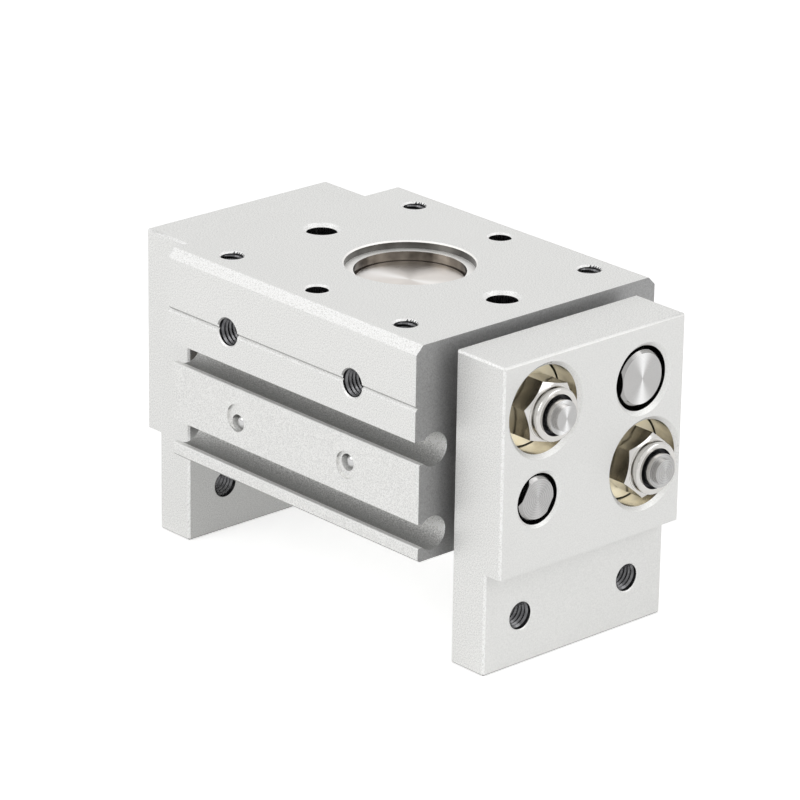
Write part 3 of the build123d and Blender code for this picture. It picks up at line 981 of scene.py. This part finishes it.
nickel = make_nickel()
locking_ring = make_plain_metal("locking_ring", (0.035, 0.035, 0.04, 1.0), 0.45, 0.8 * mm, 0.0)
for side_name, side in (("right", 1), ("left", -1)):
    for line_name, y, z in (
        ("rack", -side * RACK_PLACE[0] * mm, RACK_PLACE[1] * mm),
        ("piston", side * PISTON_PLACE[0] * mm, PISTON_PLACE[1] * mm),
    ):
        node_name = f"{side_name}_{line_name}_nut"
        nut = locking_nut(node_name, side, y, z, NUT_TURNS[f"{side_name}_{line_name}"])
        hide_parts(node_name)
        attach(nut, f"{side_name}_finger")

# Studio. A pale seamless floor, two large soft lamps and a camera
# at the photograph's angle.
FLOOR_REACH = 6.0
FLOOR_DROP = 0.05 * mm
FLOOR_GLOW = 0.55
FLOOR_GLOSS = 0.7
SKY_LIGHT = 0.5
SKY_GLOSS = 0.45


def make_seamless_floor():
    material, tree, shader = new_material("seamless_floor", (0.93, 0.93, 0.93, 1.0), 0.0, 0.9)
    rays = tree.nodes.new("ShaderNodeLightPath")
    seen = math_node(tree, "MAXIMUM", rays.outputs["Is Camera Ray"], rays.outputs["Is Transmission Ray"])
    mirrored = math_node(tree, "MULTIPLY", rays.outputs["Is Glossy Ray"], FLOOR_GLOSS)
    seen = math_node(tree, "MAXIMUM", seen, mirrored)
    shader.inputs["Emission Color"].default_value = (1.0, 1.0, 1.0, 1.0)
    glow = math_node(tree, "MULTIPLY", seen, FLOOR_GLOW)
    tree.links.new(glow, shader.inputs["Emission Strength"])
    return material


floor_mesh = bpy.data.meshes.new("floor")
floor_corners = [(x * FLOOR_REACH, y * FLOOR_REACH, 0) for x, y in ((-1, -1), (1, -1), (1, 1), (-1, 1))]
floor_mesh.from_pydata(floor_corners, [], [(0, 1, 2, 3)])
floor_mesh.materials.append(make_seamless_floor())
floor = linked_object("floor", floor_mesh)
floor.location.z = -FLOOR_DROP

world = bpy.data.worlds.new("studio")
world.use_nodes = True
bpy.context.scene.world = world
sky_tree = world.node_tree
sky = sky_tree.nodes["Background"]
sky.inputs["Color"].default_value = (1.0, 1.0, 1.0, 1.0)
rays = sky_tree.nodes.new("ShaderNodeLightPath")
seen = math_node(sky_tree, "MAXIMUM", rays.outputs["Is Camera Ray"], rays.outputs["Is Transmission Ray"])
level = math_node(sky_tree, "MULTIPLY_ADD", rays.outputs["Is Glossy Ray"], SKY_GLOSS, SKY_LIGHT)
sky_tree.links.new(math_node(sky_tree, "MAXIMUM", seen, level), sky.inputs["Strength"])


def soft_lamp(name, place, aim, size, power):
    """A square soft box at a place, turned to an aim."""
    lamp = bpy.data.lights.new(name, "AREA")
    lamp.shape = "SQUARE"
    lamp.size = size
    lamp.energy = power
    holder = linked_object(name, lamp)
    holder.location = place
    holder.rotation_euler = (Vector(aim) - Vector(place)).to_track_quat("-Z", "Y").to_euler()


middle = (0.0, 0.0, 0.03)
soft_lamp("front_left_lamp", (-0.25, -1.1, 0.8), middle, 0.8, 3.7)
soft_lamp("right_lamp", (0.9, 0.5, 0.7), middle, 0.8, 2.6)

camera_data = bpy.data.cameras.new("camera")
camera_data.lens = 202.39
camera_data.sensor_width = 36.0
camera = linked_object("camera", camera_data)
camera.location = (0.53636, -0.49298, 0.31114)
camera.rotation_euler = (radians(69.0225), radians(-0.8691), radians(47.8537))
bpy.context.scene.camera = camera
bpy.context.scene.view_settings.view_transform = "Standard"
